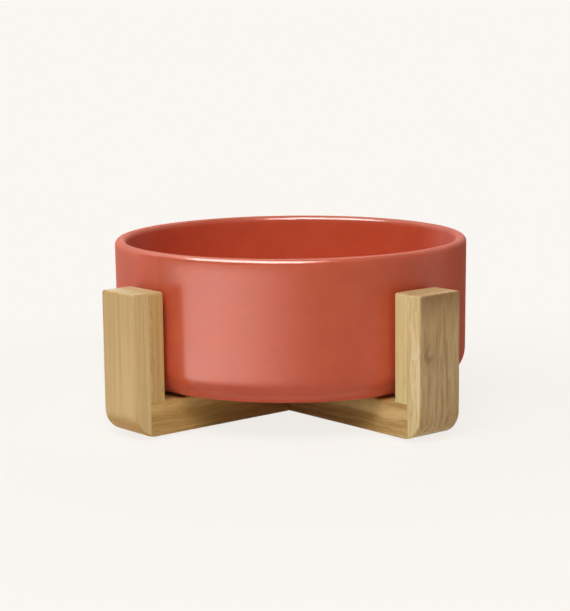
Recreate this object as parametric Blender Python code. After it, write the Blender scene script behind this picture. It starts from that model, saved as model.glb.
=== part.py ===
"""A round glazed food bowl that lifts out of a crossed bamboo stand.

Two bars are half-lapped under the bowl. A post stands on each bar end: an outer ply
covers the end grain, and an inner ply stands on the bar, held by a hidden dowel.
A round pad under each bar end keeps the stand from slipping.

All values are metres. +Z is up, and the origin is under the middle of the bowl, on the
surface that the pads stand on. The bars lie along X and Y.
"""

import math

import bmesh
import bpy
from mathutils import Matrix

# Bowl
BOWL_RADIUS = 0.0775
BOWL_HEIGHT = 0.0609
BOWL_TAPER = 0.00035
WALL_THICKNESS = 0.0048
FLOOR_THICKNESS = 0.0050
COVE_RADIUS = 0.0130
BASE_ROUNDING_WIDTH = 0.0103
BASE_ROUNDING_HEIGHT = 0.0118
FOOT_RING_WIDTH = 0.0060
FOOT_RECESS = 0.0015

# Stand
STOCK_WIDTH = 0.0229
BAR_THICKNESS = 0.0147
PLY_THICKNESS = 0.0075
POST_HEIGHT = 0.0606
OUTER_CORNER = 0.0105
INNER_CORNER = 0.0014
EDGE_EASE = 0.0010

# Dowels
DOWEL_DIAMETER = 0.0040
DOWEL_IN_POST = 0.0120
DOWEL_HOLE_FLOOR = 0.0050
DOWEL_CHAMFER = 0.0005

# Pads
PAD_DIAMETER = 0.0100
PAD_RECESS = 0.0010
PAD_PROUD = 0.0010
PAD_EASE = 0.0003
PAD_FROM_POST = 0.0040

# Clearances
BOWL_TO_POST = 0.0012
BOWL_TO_BAR = 0.0003
GLUE_LINE = 0.0003
CUTTER_MARGIN = 0.0020

# Facets, with angles in degrees
TURNED_STEPS = 72
LIP_FACET = 18
CURVE_FACET = 11.25
EASE_STEPS = 2
SMALL_ROUND_SIDES = 24
SMOOTH_BELOW = 40
SAME_PLACE = 0.00001

# Places along an arm, measured from the middle of the cross
POST_INNER = BOWL_RADIUS + BOWL_TO_POST
BAR_END = POST_INNER + PLY_THICKNESS
OUTER_PLY_INNER = BAR_END + GLUE_LINE
POST_OUTER = OUTER_PLY_INNER + PLY_THICKNESS
DOWEL_AT = POST_INNER + PLY_THICKNESS / 2
PAD_AT = POST_INNER - PAD_FROM_POST

# How far each arm of the cross is turned about Z, in degrees, named as seen from the front
ARM_TURNS = {"front_right": 0, "back_right": 90, "back_left": 180, "front_left": 270}

# Finishes, each a linear base colour and a roughness
CORAL_GLAZE = ((0.530, 0.095, 0.052), 0.30)
LIGHT_BAMBOO = ((0.600, 0.420, 0.190), 0.50)
WARM_BAMBOO = ((0.480, 0.310, 0.130), 0.50)
BEECH = ((0.560, 0.400, 0.230), 0.60)
DARK_RUBBER = ((0.030, 0.030, 0.030), 0.80)


def clear_scene():
    """Remove every object, so that only this part is left."""
    for old in list(bpy.data.objects):
        bpy.data.objects.remove(old, do_unlink=True)


def add_anchor(name, height=0.0, turn=0, parent=None):
    """Add an empty on the Z axis that carries pieces, turned about Z by so many degrees."""
    anchor = bpy.data.objects.new(name, None)
    anchor.parent = parent
    anchor.location = (0.0, 0.0, height)
    anchor.rotation_euler = (0.0, 0.0, math.radians(turn))
    bpy.context.scene.collection.objects.link(anchor)
    return anchor


def add_piece(name, mesh, parent, place=(0.0, 0.0, 0.0)):
    """Add a mesh to the scene under this name."""
    piece = bpy.data.objects.new(name, mesh)
    piece.parent = parent
    piece.location = place
    bpy.context.scene.collection.objects.link(piece)
    return piece


def add_finish(piece, finish):
    """Give a piece its own material."""
    colour, roughness = finish
    material = bpy.data.materials.new(f"{piece.name}_finish")
    material.use_nodes = True
    shader = material.node_tree.nodes["Principled BSDF"]
    shader.inputs["Base Color"].default_value = (*colour, 1.0)
    shader.inputs["Roughness"].default_value = roughness
    shader.inputs["Metallic"].default_value = 0.0
    piece.data.materials.append(material)


def cut(piece, cutter):
    """Take the shape of a cutter, which isn't part of the object, out of a piece."""
    cutter.hide_render = True
    cutter.display_type = "WIRE"
    modifier = piece.modifiers.new(cutter.name, "BOOLEAN")
    modifier.operation = "DIFFERENCE"
    modifier.solver = "EXACT"
    modifier.object = cutter


def to_mesh(shape, name):
    """Turn a bmesh into a mesh with its faces pointing out and its round sides smooth."""
    bmesh.ops.recalc_face_normals(shape, faces=shape.faces)
    mesh = bpy.data.meshes.new(name)
    shape.to_mesh(mesh)
    shape.free()
    mesh.shade_smooth()
    mesh.set_sharp_from_angle(angle=math.radians(SMOOTH_BELOW))
    return mesh


def arc(centre, width, height, start, end, facet=CURVE_FACET):
    """Points of an arc in the XZ plane between two angles in degrees, with both ends."""
    steps = math.ceil(abs(end - start) / facet)
    points = []
    for step in range(steps + 1):
        angle = math.radians(start + (end - start) * step / steps)
        x = centre[0] + width * math.cos(angle)
        z = centre[1] + height * math.sin(angle)
        points.append((x, z))
    return points


def box(length, width, bottom, top):
    """A box centred on the Z axis, between two heights."""
    shape = bmesh.new()
    size = Matrix.Diagonal((length, width, top - bottom, 1.0))
    middle = Matrix.Translation((0.0, 0.0, (bottom + top) / 2))
    bmesh.ops.create_cube(shape, size=1.0, matrix=middle @ size)
    return shape


def cylinder(diameter, bottom, top):
    """A closed cylinder on the Z axis, between two heights."""
    shape = bmesh.new()
    bmesh.ops.create_cone(
        shape,
        cap_ends=True,
        segments=SMALL_ROUND_SIDES,
        radius1=diameter / 2,
        radius2=diameter / 2,
        depth=top - bottom,
        matrix=Matrix.Translation((0.0, 0.0, (bottom + top) / 2)),
    )
    return shape


def ease_edges(shape, width, steps):
    """Round every sharp edge."""
    sharp_angle = math.radians(SMOOTH_BELOW)
    sharp = [edge for edge in shape.edges if edge.calc_face_angle() > sharp_angle]
    bmesh.ops.bevel(
        shape,
        geom=sharp,
        offset=width,
        segments=steps,
        profile=0.5,
        affect="EDGES",
        clamp_overlap=True,
    )


def slice_off(shape, point, outward):
    """Cut away what lies beyond a plane, and close the cut."""
    bmesh.ops.bisect_plane(
        shape,
        geom=[*shape.verts, *shape.edges, *shape.faces],
        dist=SAME_PLACE,
        plane_co=point,
        plane_no=outward,
        clear_outer=True,
    )
    open_edges = [edge for edge in shape.edges if edge.is_boundary]
    bmesh.ops.holes_fill(shape, edges=open_edges)


def bowl_profile():
    """Half of the bowl's section: the floor, up the inside, over the lip, down and under."""
    outer = BOWL_RADIUS - BOWL_TAPER
    inner = outer - WALL_THICKNESS
    floor = FOOT_RECESS + FLOOR_THICKNESS
    lip_radius = WALL_THICKNESS / 2
    lip_centre = (BOWL_RADIUS - lip_radius, BOWL_HEIGHT - lip_radius)
    cove_centre = (inner - COVE_RADIUS, floor + COVE_RADIUS)
    foot_outer = outer - BASE_ROUNDING_WIDTH
    foot_inner = foot_outer - FOOT_RING_WIDTH
    base_centre = (foot_outer, BASE_ROUNDING_HEIGHT)
    return [
        (0.0, floor),
        *arc(cove_centre, COVE_RADIUS, COVE_RADIUS, -90, 0),
        *arc(lip_centre, lip_radius, lip_radius, 180, 0, LIP_FACET),
        *arc(base_centre, BASE_ROUNDING_WIDTH, BASE_ROUNDING_HEIGHT, 0, -90),
        (foot_inner, 0.0),
        (foot_inner - FOOT_RECESS, FOOT_RECESS),
        (0.0, FOOT_RECESS),
    ]


def build_bowl():
    """Turn the bowl on its axis, with its origin where it sits on the bars."""
    points = [(x, 0.0, z) for x, z in bowl_profile()]
    lines = [(i, i + 1) for i in range(len(points) - 1)]
    mesh = bpy.data.meshes.new("bowl")
    mesh.from_pydata(points, lines, [])
    seat = PAD_PROUD + BAR_THICKNESS + BOWL_TO_BAR
    bowl = add_piece("bowl", mesh, None, (0.0, 0.0, seat))
    add_finish(bowl, CORAL_GLAZE)
    turned = bowl.modifiers.new("turned", "SCREW")
    turned.steps = TURNED_STEPS
    turned.render_steps = TURNED_STEPS
    turned.use_merge_vertices = True
    turned.merge_threshold = SAME_PLACE
    turned.use_smooth_shade = True


def eased_frame():
    """One bar with both its posts, glued up and rounded as a whole, before it is sliced."""
    outer_corner = (POST_OUTER - OUTER_CORNER, OUTER_CORNER)
    inner_corner = (POST_INNER - INNER_CORNER, BAR_THICKNESS + INNER_CORNER)
    right = [
        *arc(outer_corner, OUTER_CORNER, OUTER_CORNER, -90, 0),
        (POST_OUTER, POST_HEIGHT),
        (POST_INNER, POST_HEIGHT),
        *arc(inner_corner, INNER_CORNER, INNER_CORNER, 0, -90),
    ]
    left = [(-x, z) for x, z in reversed(right)]
    shape = bmesh.new()
    corners = [shape.verts.new((x, -STOCK_WIDTH / 2, z)) for x, z in right + left]
    side = shape.faces.new(corners)
    drawn = bmesh.ops.extrude_face_region(shape, geom=[side])
    far_side = [item for item in drawn["geom"] if isinstance(item, bmesh.types.BMVert)]
    bmesh.ops.translate(shape, verts=far_side, vec=(0.0, STOCK_WIDTH, 0.0))
    bmesh.ops.recalc_face_normals(shape, faces=shape.faces)
    ease_edges(shape, EDGE_EASE, EASE_STEPS)
    return shape


def build_bar(name, stand, turn, lap_bottom, lap_top):
    """Make a bar of the cross, with its half of the lap cut between two heights."""
    shape = eased_frame()
    slice_off(shape, (0.0, 0.0, BAR_THICKNESS), (0.0, 0.0, 1.0))
    slice_off(shape, (BAR_END, 0.0, 0.0), (1.0, 0.0, 0.0))
    slice_off(shape, (-BAR_END, 0.0, 0.0), (-1.0, 0.0, 0.0))
    bar = add_piece(name, to_mesh(shape, name), stand)
    bar.rotation_euler.z = math.radians(turn)
    add_finish(bar, LIGHT_BAMBOO)
    notch_name = f"{name}_notch"
    notch_width = STOCK_WIDTH + 2 * GLUE_LINE
    notch_length = STOCK_WIDTH + 2 * CUTTER_MARGIN
    shape = box(notch_width, notch_length, lap_bottom, lap_top)
    notch = add_piece(notch_name, to_mesh(shape, notch_name), stand)
    notch.rotation_euler.z = math.radians(turn)
    cut(bar, notch)
    return bar


def build_outer_ply(arm_name, arm):
    """Make the ply that covers the end of the bar and runs to the top of the post."""
    shape = eased_frame()
    slice_off(shape, (OUTER_PLY_INNER, 0.0, 0.0), (-1.0, 0.0, 0.0))
    name = f"outer_ply_{arm_name}"
    ply = add_piece(name, to_mesh(shape, name), arm)
    add_finish(ply, LIGHT_BAMBOO)


def build_inner_ply(arm_name, arm):
    """Make the ply that stands on the bar, between the bowl and the outer ply."""
    shape = eased_frame()
    slice_off(shape, (0.0, 0.0, BAR_THICKNESS + GLUE_LINE), (0.0, 0.0, -1.0))
    slice_off(shape, (0.0, 0.0, 0.0), (-1.0, 0.0, 0.0))
    slice_off(shape, (BAR_END, 0.0, 0.0), (1.0, 0.0, 0.0))
    name = f"inner_ply_{arm_name}"
    ply = add_piece(name, to_mesh(shape, name), arm)
    add_finish(ply, WARM_BAMBOO)
    return ply


def build_dowel(arm_name, arm, bar, inner_ply):
    """Drill one hole through the bar's top into the inner ply, and put a dowel in it."""
    hole_roof = BAR_THICKNESS + GLUE_LINE + DOWEL_IN_POST
    drill = cylinder(DOWEL_DIAMETER + 2 * GLUE_LINE, DOWEL_HOLE_FLOOR, hole_roof)
    name = f"dowel_hole_{arm_name}"
    hole = add_piece(name, to_mesh(drill, name), arm, (DOWEL_AT, 0.0, 0.0))
    cut(bar, hole)
    cut(inner_ply, hole)
    shape = cylinder(DOWEL_DIAMETER, DOWEL_HOLE_FLOOR + GLUE_LINE, hole_roof - GLUE_LINE)
    ease_edges(shape, DOWEL_CHAMFER, 1)
    name = f"dowel_{arm_name}"
    dowel = add_piece(name, to_mesh(shape, name), arm, (DOWEL_AT, 0.0, 0.0))
    add_finish(dowel, BEECH)


def build_pad(arm_name, arm, bar):
    """Sink a shallow recess under the bar's end, and put a pad in it."""
    bore = cylinder(PAD_DIAMETER + 2 * GLUE_LINE, -CUTTER_MARGIN, PAD_RECESS)
    name = f"pad_recess_{arm_name}"
    recess = add_piece(name, to_mesh(bore, name), arm, (PAD_AT, 0.0, 0.0))
    cut(bar, recess)
    shape = cylinder(PAD_DIAMETER, -PAD_PROUD, PAD_RECESS - GLUE_LINE)
    ease_edges(shape, PAD_EASE, 1)
    name = f"pad_{arm_name}"
    pad = add_piece(name, to_mesh(shape, name), arm, (PAD_AT, 0.0, 0.0))
    add_finish(pad, DARK_RUBBER)


def build_stand():
    """Make the crossed bars, then the post, dowel and pad of each arm."""
    stand = add_anchor("stand", height=PAD_PROUD)
    lap_middle = BAR_THICKNESS / 2
    lower_notch = (lap_middle - GLUE_LINE / 2, BAR_THICKNESS + CUTTER_MARGIN)
    upper_notch = (-CUTTER_MARGIN, lap_middle + GLUE_LINE / 2)
    bars = {
        0: build_bar("bar_lower", stand, 0, *lower_notch),
        90: build_bar("bar_upper", stand, 90, *upper_notch),
    }
    for arm_name, turn in ARM_TURNS.items():
        arm = add_anchor(f"arm_{arm_name}", turn=turn, parent=stand)
        bar = bars[turn % 180]
        build_outer_ply(arm_name, arm)
        inner_ply = build_inner_ply(arm_name, arm)
        build_dowel(arm_name, arm, bar, inner_ply)
        build_pad(arm_name, arm, bar)


def main():
    """Build the whole part."""
    clear_scene()
    build_stand()
    build_bowl()


main()
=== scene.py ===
"""Dress the glazed food bowl and its crossed bamboo stand for a studio picture.

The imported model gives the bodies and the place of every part. Around it this script makes
the bowl, the bars, the plies and the pads again with finer curves and tight glue seams,
gives every piece its finish, and adds the floor, the lamps and the camera.

All values are metres unless a name says otherwise. +Z is up, and the bars of the stand lie
along X and Y. The size of a noise is the width of one cloud in it, its layers are the finer
clouds that lie on those, and its harshness is how strong the finer ones are.
"""

import logging
import math
from collections.abc import Iterable
from dataclasses import dataclass, replace
from enum import Enum
from functools import reduce
from typing import Any

import bmesh
import bpy
from bmesh.types import BMesh, BMVert
from bpy.types import Material, Mesh, Node, NodeSocket, NodeTree, Object, World
from mathutils import Matrix, Vector


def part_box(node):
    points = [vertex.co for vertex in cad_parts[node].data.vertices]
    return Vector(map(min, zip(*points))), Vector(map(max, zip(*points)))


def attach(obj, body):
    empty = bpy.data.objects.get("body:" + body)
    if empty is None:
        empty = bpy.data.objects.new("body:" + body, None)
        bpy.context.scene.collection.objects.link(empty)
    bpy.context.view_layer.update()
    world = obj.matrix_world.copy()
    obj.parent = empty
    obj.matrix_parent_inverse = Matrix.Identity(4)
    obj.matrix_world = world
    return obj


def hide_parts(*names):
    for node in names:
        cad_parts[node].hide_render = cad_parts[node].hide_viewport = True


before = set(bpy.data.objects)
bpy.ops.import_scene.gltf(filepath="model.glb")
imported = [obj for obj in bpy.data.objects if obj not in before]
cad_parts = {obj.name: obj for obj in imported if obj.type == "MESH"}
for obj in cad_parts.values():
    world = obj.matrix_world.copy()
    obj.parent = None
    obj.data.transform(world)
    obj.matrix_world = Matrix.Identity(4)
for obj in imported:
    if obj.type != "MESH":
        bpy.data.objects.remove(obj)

Colour = tuple[float, float, float]
Point = tuple[float, float]
Pair = tuple[float, float]
Feed = Any

LOG = logging.getLogger("food_bowl")
SAME_PLACE = 0.000001
SHARP_ANGLE = math.radians(40)
CAMERA_BEARING = 49.745
WHITE = (1.0, 1.0, 1.0)

# Most values of a noise lie in this range, round this middle.
NOISE_RANGE = (0.3, 0.7)
NOISE_MIDDLE = 0.5

# How harsh a noise is where its finish has no harshness of its own.
HARSHNESS = 0.6

# This multiplies a place to leave only its height.
ONLY_HEIGHT = (0.0, 0.0, 1.0)

# The inputs and the output of a Mix node that mixes colours.
MIX_COLOURS = (6, 7)
MIX_RESULT = 2

# A grid of size 1 reaches this far to each side of its middle.
GRID_REACH = 0.5

# The inputs that the turning of a profile needs, each with the last word of its type.
TURNING_SOCKETS = {
    "Turned Steps": "Int",
    "Wobble": "Float",
    "Wobble Size": "Float",
    "Weld Distance": "Float",
}


class Arm(Enum):
    """The arms of the cross, each with its turn about Z in degrees."""

    front_right = 0
    back_right = 90
    back_left = 180
    front_left = 270

    @property
    def turn(self) -> float:
        """Give the turn in radians."""
        return math.radians(self.value)


class Grain(Enum):
    """The way that the fibres of a bamboo piece run, as an axis seen from its own arm."""

    along_bar = 0
    upright = 2

    def shortened(self, share: float) -> list[float]:
        """Give the scale that shortens a place to this share along the fibres."""
        return [share if axis == self.value else 1.0 for axis in range(3)]


class Ply(Enum):
    """The two layers of a post: the outer one covers the bar's end, the inner one stands on it."""

    outer = "outer_ply"
    inner = "inner_ply"


class Side(Enum):
    """The sides that a cut can take away from a bar along X, each with its direction."""

    beyond = (1.0, 0.0, 0.0)
    before = (-1.0, 0.0, 0.0)
    above = (0.0, 0.0, 1.0)
    below = (0.0, 0.0, -1.0)


class NodeBench:
    """Adds nodes to one tree and joins them."""

    def __init__(self, tree: NodeTree) -> None:
        """Work on the tree of a material, a world or a Geometry Nodes modifier."""
        self.tree = tree

    def feed(self, socket: NodeSocket, value: Feed) -> None:
        """Join an output to an input, or set the input's own value.

        Args:
            socket: the input.
            value: an output to join, or a plain value.
        """
        if isinstance(value, NodeSocket):
            self.tree.links.new(value, socket)
        else:
            socket.default_value = value

    def add(self, kind: str, feeds: dict[Any, Feed] | None = None, **settings: Any) -> Node:
        """Add a node.

        Args:
            kind: the node's type.
            feeds: what goes into its inputs, by name or number.
            settings: the node's own settings.

        Returns:
            The new node.
        """
        node = self.tree.nodes.new(kind)
        for name, setting in settings.items():
            setattr(node, name, setting)
        for key, value in (feeds or {}).items():
            self.feed(node.inputs[key], value)
        return node

    def make(self, kind: str, feeds: dict[Any, Feed] | None = None, **settings: Any) -> NodeSocket:
        """Add a node as add does, and give its first output."""
        return self.add(kind, feeds, **settings).outputs[0]

    def math(self, operation: str, first: Feed, second: Feed = 0.0) -> NodeSocket:
        """Do sums on one or two values, with what a Math node calls the sum."""
        return self.make("ShaderNodeMath", {0: first, 1: second}, operation=operation)

    def largest(self, values: Iterable[Feed]) -> NodeSocket:
        """Give the largest of several values."""
        return reduce(lambda first, second: self.math("MAXIMUM", first, second), values)

    def vector(self, operation: str, first: Feed, second: Feed) -> NodeSocket:
        """Do sums on two places, with what a Vector Math node calls the sum."""
        return self.make("ShaderNodeVectorMath", {0: first, 1: second}, operation=operation)

    def length(self, place: Feed) -> NodeSocket:
        """Measure how far a place is from the origin."""
        return self.add("ShaderNodeVectorMath", {0: place}, operation="LENGTH").outputs["Value"]

    def axes(self, place: Feed) -> Any:
        """Split a place, and give the outputs of its X, Y and Z."""
        return self.add("ShaderNodeSeparateXYZ", {0: place}).outputs

    def fade(self, value: Feed, start: float, end: float, low: float = 0.0, high: float = 1.0) -> Feed:
        """Turn the values from start to end smoothly into those from low to high."""
        feeds = {"Value": value, "From Min": start, "From Max": end, "To Min": low, "To Max": high}
        return self.make("ShaderNodeMapRange", feeds, interpolation_type="SMOOTHSTEP")

    def noise(self, place: Feed, size: float, layers: float = 2.0, harshness: float = 0.5) -> NodeSocket:
        """Make cloudy noise, with values from 0 to 1."""
        feeds = {"Vector": place, "Scale": 1.0 / size, "Detail": layers, "Roughness": harshness}
        return self.make("ShaderNodeTexNoise", feeds)

    def blend(self, share: Feed, first: Feed, second: Feed, way: str = "MIX") -> NodeSocket:
        """Mix two colours.

        Args:
            share: how much of the second one there is, from 0 to 1.
            first: the first colour, as an output or three numbers.
            second: the second colour.
            way: what a Mix node calls the mixing.

        Returns:
            The mixed colour's output.
        """
        node = self.add("ShaderNodeMix", {0: share}, data_type="RGBA", blend_type=way)
        for key, colour in zip(MIX_COLOURS, (first, second)):
            self.feed(node.inputs[key], colour if isinstance(colour, NodeSocket) else (*colour, 1.0))
        return node.outputs[MIX_RESULT]


class MaterialBench(NodeBench):
    """A new material, with its nodes, its shader and the coordinates that it reads."""

    def __init__(self, name: str) -> None:
        """Start a material.

        Args:
            name: its name.
        """
        self.material = bpy.data.materials.new(name)
        self.material.use_nodes = True
        super().__init__(self.material.node_tree)
        self.shader = self.tree.nodes["Principled BSDF"]
        self.coordinates = self.add("ShaderNodeTexCoord").outputs

    def give(self, name: str, value: Feed) -> None:
        """Feed one of the shader's inputs."""
        self.feed(self.shader.inputs[name], value)

    def stand_out(self, height: Feed) -> None:
        """Let the surface stand out by this height."""
        self.give("Normal", self.make("ShaderNodeBump", {"Height": height, "Distance": 1.0}))


@dataclass(frozen=True)
class CoralGlaze:
    """A satin coral glaze, clouded a little, with rare darker specks and a paler rim band, partly the
    glaze lying less thick over the edge and partly a painted highlight along the lip.

    It is rougher at a glance, so that it mirrors less of what lies behind it.
    """

    middle: Colour = (0.605, 0.100, 0.043)
    middle_share: float = 0.60
    deep: Colour = (0.540, 0.082, 0.033)
    pale: Colour = (0.655, 0.124, 0.058)
    speck: Colour = (0.480, 0.062, 0.026)
    thin_glaze_and_painted_highlight: Colour = (0.690, 0.170, 0.100)
    cloud_size: float = 0.012
    cloud_layers: float = 3.0
    cloud_range: Pair = (0.15, 0.85)
    grain_size: float = 0.0007
    grain_strength: float = 0.12
    speck_spacing: float = 0.015
    speck_radius: float = 0.00022
    speck_fade: float = 2.0
    specks_kept: float = 0.16
    thin_glaze_and_highlight_band: float = 0.0016
    thin_glaze_and_highlight_strength: float = 0.45
    smudge_layers: float = 4.0
    smudge_harshness: float = 0.70
    roughness_low: float = 0.18
    roughness_high: float = 0.25
    glance_range: Pair = (0.30, 0.70)
    glance_roughness: float = 0.75
    specular: float = 0.27
    ripple_size: float = 0.009
    ripple_height: float = 0.00006
    peel_size: float = 0.0011
    peel_height: float = 0.000004
    relief_layers: float = 1.0

    def material(self, rim_height: float) -> Material:
        """Make the glaze.

        Args:
            rim_height: the height of the bowl's rim, where the glaze lies less thick and a highlight is
                painted.

        Returns:
            The material.
        """
        bench = MaterialBench("coral_glaze_satin")
        place = bench.coordinates["Object"]
        clouds = bench.noise(place, self.cloud_size, self.cloud_layers, HARSHNESS)
        colour = bench.blend(bench.fade(clouds, *self.cloud_range), self.deep, self.pale)
        colour = bench.blend(self.middle_share, colour, self.middle)
        grain = bench.noise(place, self.grain_size)
        grain_share = bench.fade(grain, *NOISE_RANGE, 0.0, self.grain_strength)
        colour = bench.blend(grain_share, colour, self.deep)
        colour = bench.blend(self.specks(bench, place), colour, self.speck)
        height = bench.axes(place)["Z"]
        # The top of the rim turns paler: partly the glaze lying less thick there, partly a painted
        # highlight along the lip.
        thin_glaze_and_painted_highlight = bench.fade(height, rim_height - self.thin_glaze_and_highlight_band, rim_height, 0.0, self.thin_glaze_and_highlight_strength)
        bench.give("Base Color", bench.blend(thin_glaze_and_painted_highlight, colour, self.thin_glaze_and_painted_highlight))
        smudges = bench.noise(place, self.cloud_size, self.smudge_layers, self.smudge_harshness)
        satin = bench.fade(smudges, *NOISE_RANGE, self.roughness_low, self.roughness_high)
        facing = bench.add("ShaderNodeLayerWeight").outputs["Facing"]
        glance = bench.fade(facing, *self.glance_range, 0.0, self.glance_roughness)
        bench.give("Roughness", bench.math("ADD", satin, glance))
        bench.give("Specular IOR Level", self.specular)
        ripple = bench.noise(place, self.ripple_size, self.relief_layers)
        peel = bench.noise(place, self.peel_size, self.relief_layers)
        ripple_part = bench.math("MULTIPLY", ripple, self.ripple_height)
        peel_part = bench.math("MULTIPLY", peel, self.peel_height)
        bench.stand_out(bench.math("ADD", ripple_part, peel_part))
        return bench.material

    def specks(self, bench: MaterialBench, place: Feed) -> NodeSocket:
        """Scatter small dark specks.

        Args:
            bench: the material's bench.
            place: where they are read.

        Returns:
            An output that is 1 in a speck and 0 elsewhere.
        """
        feeds = {"Vector": place, "Scale": 1.0 / self.speck_spacing}
        cells = bench.add("ShaderNodeTexVoronoi", feeds).outputs
        radius = self.speck_radius / self.speck_spacing
        spot = bench.fade(cells["Distance"], radius, radius * self.speck_fade, 1.0, 0.0)
        pick = bench.make("ShaderNodeSeparateColor", {0: cells["Color"]})
        return bench.math("MULTIPLY", spot, bench.math("LESS_THAN", pick, self.specks_kept))


@dataclass(frozen=True)
class GrainyFinish:
    """A matt finish with fine grains of another colour."""

    name: str
    ground: Colour
    grains: Colour
    grain_size: float
    grain_harshness: float
    grain_range: Pair
    roughness: Pair
    relief: float
    grain_layers: float = 4.0

    def material(self) -> Material:
        """Make the finish.

        Returns:
            The material.
        """
        bench = MaterialBench(self.name)
        place = bench.coordinates["Object"]
        grain = bench.noise(place, self.grain_size, self.grain_layers, self.grain_harshness)
        share = bench.fade(grain, *self.grain_range)
        bench.give("Base Color", bench.blend(share, self.ground, self.grains))
        bench.give("Roughness", bench.fade(grain, *NOISE_RANGE, *self.roughness))
        bench.stand_out(bench.math("MULTIPLY", grain, self.relief))
        return bench.material


BARE_CLAY = GrainyFinish(
    "bare_clay_foot",
    ground=(0.700, 0.580, 0.450),
    grains=(0.480, 0.360, 0.260),
    grain_size=0.0005,
    grain_harshness=0.70,
    grain_range=(0.35, 0.70),
    roughness=(0.85, 0.95),
    relief=0.00003,
)
RUBBER = GrainyFinish(
    "pad_rubber_matt",
    ground=(0.022, 0.022, 0.023),
    grains=(0.075, 0.072, 0.068),
    grain_size=0.0006,
    grain_harshness=0.60,
    grain_range=(0.40, 0.80),
    roughness=(0.72, 0.88),
    relief=0.00002,
)


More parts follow.
